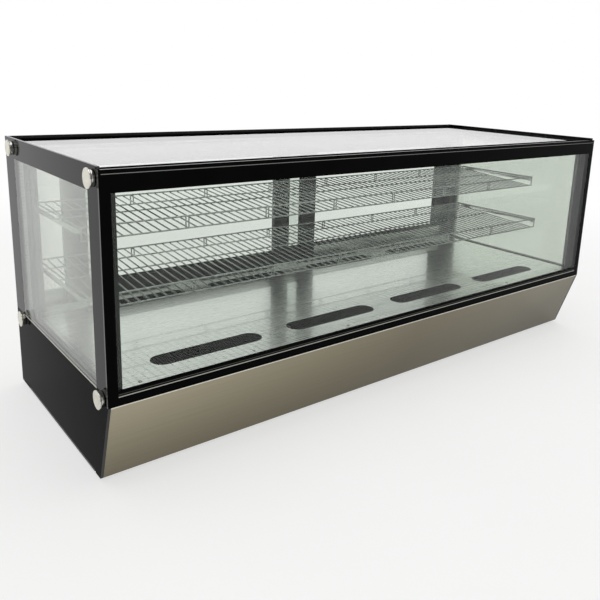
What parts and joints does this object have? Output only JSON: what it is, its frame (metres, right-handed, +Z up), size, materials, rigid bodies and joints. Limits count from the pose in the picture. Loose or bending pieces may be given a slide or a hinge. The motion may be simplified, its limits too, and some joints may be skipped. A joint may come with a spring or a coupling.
{
  "type": "bakery display case",
  "caption": "Countertop refrigerated glass display case with a leaning stainless kick panel, wire shelves, a grilled deck and sliding rear glass doors.",
  "frame": {"origin": "on the floor under the middle of the case", "axes": "+X to the right seen from the front, +Y from the front glass to the rear doors, +Z up"},
  "size_m": [1.7746, 0.65, 0.694],
  "materials": {
    "glass": "clear tempered glass",
    "black_frame": "semi-gloss black powder coat",
    "kick_steel": "brushed stainless, grain along the case",
    "deck_steel": "bright stainless",
    "chrome": "polished chrome",
    "black_plastic": "moulded matt black",
    "rubber": "black rubber",
    "light_lens": "milky lens",
    "tub_plastic": "moulded liner over foam",
    "aluminium": "bare fins",
    "compressor_paint": "satin black paint",
    "red_plastic": "gloss red rocker",
    "green_plastic": "gloss green rocker"
  },
  "bodies": {
    "cabinet": {"left_outer_pane": "glass", "right_outer_pane": "glass", "left_inner_glazing": "glass", "right_inner_glazing": "glass", "front_outer_pane": "glass", "front_inner_glazing": "glass", "roof_pane": "glass", "base_tray": "black_frame", "front_frame": "black_frame", "rear_frame": "black_frame", "condenser_shroud": "black_frame", "kick_panel": "kick_steel", "rear_panel": "kick_steel", "door_track": "deck_steel", "deck_panel": "deck_steel", "left_front_upper_glass_bolt": "chrome", "left_front_lower_glass_bolt": "chrome", "left_rear_upper_glass_bolt": "chrome", "left_rear_lower_glass_bolt": "chrome", "right_front_upper_glass_bolt": "chrome", "right_front_lower_glass_bolt": "chrome", "right_rear_upper_glass_bolt": "chrome", "right_rear_lower_glass_bolt": "chrome", "upper_shelf_left_bracket": "chrome", "upper_shelf_right_bracket": "chrome", "lower_shelf_left_bracket": "chrome", "lower_shelf_right_bracket": "chrome", "front_grille_1": "black_plastic", "front_grille_2": "black_plastic", "front_grille_3": "black_plastic", "front_grille_4": "black_plastic", "rear_grille_1": "black_plastic", "rear_grille_2": "black_plastic", "rear_grille_3": "black_plastic", "rear_grille_4": "black_plastic", "drain_pan": "black_plastic", "thermostat": "black_plastic", "power_inlet": "black_plastic", "left_front_foot": "rubber", "left_rear_foot": "rubber", "right_front_foot": "rubber", "right_rear_foot": "rubber", "light_bar": "light_lens", "evaporator_tub": "tub_plastic", "evaporator_coil": "aluminium", "condenser_coil": "aluminium", "compressor": "compressor_paint"},
    "left_door": {"left_door_frame": "black_frame", "left_door_glass": "glass"},
    "right_door": {"right_door_frame": "black_frame", "right_door_glass": "glass"},
    "upper_shelf": {"upper_shelf": "chrome"},
    "lower_shelf": {"lower_shelf": "chrome"},
    "left_evaporator_fan": {"left_evaporator_fan": "black_plastic"},
    "right_evaporator_fan": {"right_evaporator_fan": "black_plastic"},
    "condenser_fan": {"condenser_fan": "black_plastic"},
    "set_button": {"set_button": "black_plastic"},
    "defrost_button": {"defrost_button": "black_plastic"},
    "power_switch": {"power_switch": "red_plastic"},
    "light_switch": {"light_switch": "green_plastic"}
  },
  "joints": [
    {"name": "left_door_slide", "type": "slide", "parent": "cabinet", "child": "left_door", "axis": [1, 0, 0], "range_m": [-0.059, 0.711]},
    {"name": "right_door_slide", "type": "slide", "parent": "cabinet", "child": "right_door", "axis": [1, 0, 0], "range_m": [-0.77, 0]},
    {"name": "upper_shelf_lift", "type": "slide", "parent": "cabinet", "child": "upper_shelf", "axis": [0, 0, 1], "range_m": [0, 0.04]},
    {"name": "lower_shelf_lift", "type": "slide", "parent": "cabinet", "child": "lower_shelf", "axis": [0, 0, 1], "range_m": [0, 0.04]},
    {"name": "left_evaporator_fan_spin", "type": "hinge", "parent": "cabinet", "child": "left_evaporator_fan", "pos_m": [-0.52, -0.041, 0.1107], "axis": [0, 1, 0], "continuous": true},
    {"name": "right_evaporator_fan_spin", "type": "hinge", "parent": "cabinet", "child": "right_evaporator_fan", "pos_m": [-0.24, -0.041, 0.1107], "axis": [0, 1, 0], "continuous": true},
    {"name": "condenser_fan_spin", "type": "hinge", "parent": "cabinet", "child": "condenser_fan", "pos_m": [0.688, 0.1797, 0.0763], "axis": [0, 1, 0], "continuous": true},
    {"name": "set_button_press", "type": "slide", "parent": "cabinet", "child": "set_button", "axis": [0, -1, 0], "range_m": [0, 0.001], "stiffness_N_per_m": 300},
    {"name": "defrost_button_press", "type": "slide", "parent": "cabinet", "child": "defrost_button", "axis": [0, -1, 0], "range_m": [0, 0.001], "stiffness_N_per_m": 300},
    {"name": "power_switch_rock", "type": "hinge", "parent": "cabinet", "child": "power_switch", "pos_m": [-0.07, 0.31503, 0.108], "axis": [1, 0, 0], "range_deg": [0, 16]},
    {"name": "light_switch_rock", "type": "hinge", "parent": "cabinet", "child": "light_switch", "pos_m": [-0.112, 0.31503, 0.108], "axis": [1, 0, 0], "range_deg": [0, 16]}
  ]
}
